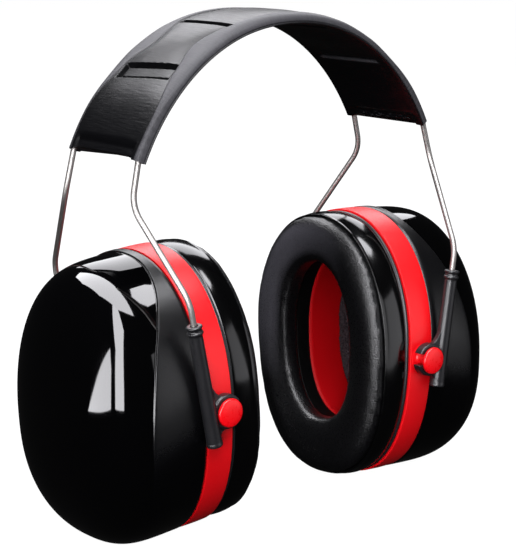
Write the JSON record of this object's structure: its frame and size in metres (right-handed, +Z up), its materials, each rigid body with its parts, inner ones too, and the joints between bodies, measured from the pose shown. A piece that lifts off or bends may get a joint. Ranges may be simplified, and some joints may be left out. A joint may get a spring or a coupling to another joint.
{
  "type": "hearing protection earmuffs",
  "caption": "Over-head hearing protection earmuffs: deep oval ear cups with ring cushions and foam liners tilt on arms that slide along the sprung wires of a padded headband.",
  "frame": {"origin": "on the surface that the cups stand on, midway between the cups and between the front and rear wires", "axes": "+X runs across the head towards the right cup, the front is at -Y, +Z is up towards the crown of the headband"},
  "size_m": [0.195, 0.0924, 0.1905],
  "materials": {
    "shell_black": "high gloss black moulded plastic, satin cheeks beside the ring",
    "ring_red": "satin red moulded plastic",
    "base_black": "high gloss black moulded plastic",
    "bowl_red": "red moulded plastic",
    "liner_foam": "open-cell dark grey foam",
    "plate_black": "black moulded plastic",
    "cushion_vinyl": "black soft vinyl with fine grain",
    "arm_black": "satin black moulded plastic",
    "band_vinyl": "black vinyl with fine cross creases",
    "wire_steel": "drawn stainless spring wire",
    "pad_foam": "soft foam"
  },
  "bodies": {
    "headband": {"headband_cover": "band_vinyl", "headband_pad": "pad_foam", "front_wire": "wire_steel", "rear_wire": "wire_steel"},
    "left_side": {"left_band_end": "band_vinyl"},
    "left_yoke": {"left_front_arm": "arm_black", "left_rear_arm": "arm_black"},
    "left_cup": {"left_outer_shell": "shell_black", "left_suspension_ring": "ring_red", "left_base_rim": "base_black", "left_inner_casing": "bowl_red", "left_foam_liner": "liner_foam", "left_cushion_plate": "plate_black", "left_cushion": "cushion_vinyl"},
    "right_side": {"right_band_end": "band_vinyl"},
    "right_yoke": {"right_front_arm": "arm_black", "right_rear_arm": "arm_black"},
    "right_cup": {"right_outer_shell": "shell_black", "right_suspension_ring": "ring_red", "right_base_rim": "base_black", "right_inner_casing": "bowl_red", "right_foam_liner": "liner_foam", "right_cushion_plate": "plate_black", "right_cushion": "cushion_vinyl"}
  },
  "joints": [
    {"name": "left_spread", "type": "hinge", "parent": "headband", "child": "left_side", "pos_m": [0, 0, 0.1886], "axis": [0, 1, 0], "range_deg": [0, 22], "stiffness_Nm_per_rad": 5, "deforming": ["headband_cover", "headband_pad", "front_wire", "rear_wire"]},
    {"name": "left_height", "type": "slide", "parent": "left_side", "child": "left_yoke", "axis": [-0.1754, 0, 0.9845], "range_m": [-0.028, 0.006]},
    {"name": "left_tilt", "type": "hinge", "parent": "left_yoke", "child": "left_cup", "pos_m": [-0.0506, 0, 0.0543], "axis": [0, -1, 0], "range_deg": [-20, 20]},
    {"name": "right_spread", "type": "hinge", "parent": "headband", "child": "right_side", "pos_m": [0, 0, 0.1886], "axis": [0, -1, 0], "range_deg": [0, 22], "stiffness_Nm_per_rad": 5, "deforming": ["headband_cover", "headband_pad", "front_wire", "rear_wire"]},
    {"name": "right_height", "type": "slide", "parent": "right_side", "child": "right_yoke", "axis": [0.1754, 0, 0.9845], "range_m": [-0.028, 0.006]},
    {"name": "right_tilt", "type": "hinge", "parent": "right_yoke", "child": "right_cup", "pos_m": [0.0506, 0, 0.0543], "axis": [0, 1, 0], "range_deg": [-20, 20]}
  ]
}
